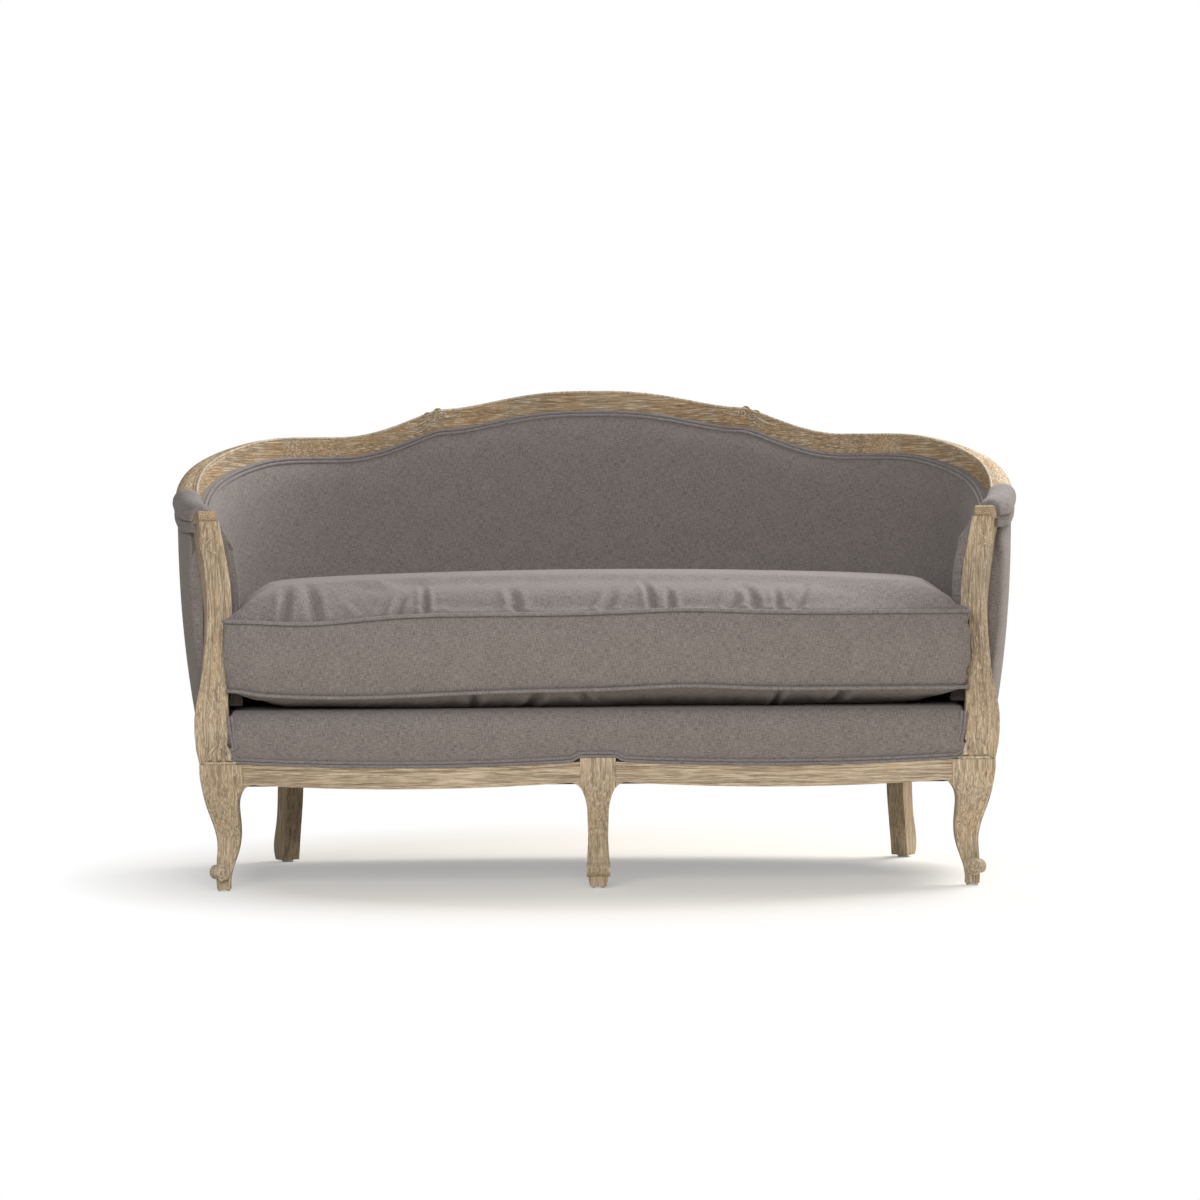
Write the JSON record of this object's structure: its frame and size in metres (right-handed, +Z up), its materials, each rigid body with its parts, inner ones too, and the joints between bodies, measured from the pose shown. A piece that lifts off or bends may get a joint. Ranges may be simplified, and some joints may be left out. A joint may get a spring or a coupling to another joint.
{
  "type": "settee",
  "caption": "Settee with a carved show-wood frame, arched crest, curved arms on reeded posts, cabriole legs, padded tub back and one loose welted seat cushion.",
  "frame": {"origin": "on the floor, in the middle of the width and of the depth", "axes": "+X to the right as seen from the front, +Y to the back, +Z up"},
  "size_m": [1.4658, 0.677, 0.852],
  "materials": {
    "oak": "limed and weathered, matt",
    "beech": "bare sawn",
    "steel": "zinc plated",
    "glide": "matt",
    "webbing": "woven jute",
    "linen": "plain weave linen, taupe grey",
    "welt": "corded linen, blue grey",
    "dust_cloth": "thin black cambric",
    "foam": "foam with a fibre wrap"
  },
  "bodies": {
    "frame": {"crest_rail": "oak", "arm_rail_left": "oak", "arm_rail_right": "oak", "arm_post_left": "oak", "arm_post_right": "oak", "front_leg_left": "oak", "front_leg_centre": "oak", "front_leg_right": "oak", "rear_leg_left": "oak", "rear_leg_right": "oak", "front_rail_left": "oak", "front_rail_right": "oak", "side_rail_left": "oak", "side_rail_right": "oak", "back_seat_rail": "oak", "seat_stretcher": "beech", "corner_blocks": "beech", "rail_dowels": "beech", "post_dowels": "beech", "back_tacking_rail": "beech", "arm_tacking_rail_left": "beech", "arm_tacking_rail_right": "beech", "back_upright": "beech", "corner_screws": "steel", "foot_glides": "glide", "seat_webbing": "webbing", "back_webbing": "webbing", "seat_deck": "linen", "inside_back_pad": "linen", "inside_arm_pad_left": "linen", "inside_arm_pad_right": "linen", "outside_back_panel": "linen", "outside_arm_panel_left": "linen", "outside_arm_panel_right": "linen", "arm_pad_left": "linen", "arm_pad_right": "linen", "deck_welt": "welt", "back_welt": "welt", "dust_cover": "dust_cloth"},
    "cushion": {"seat_cushion_cover": "linen", "seat_cushion_core": "foam"}
  },
  "joints": [
    {"name": "cushion_lift", "type": "slide", "parent": "frame", "child": "cushion", "axis": [0, 0, 1], "range_m": [0, 0.4]}
  ]
}
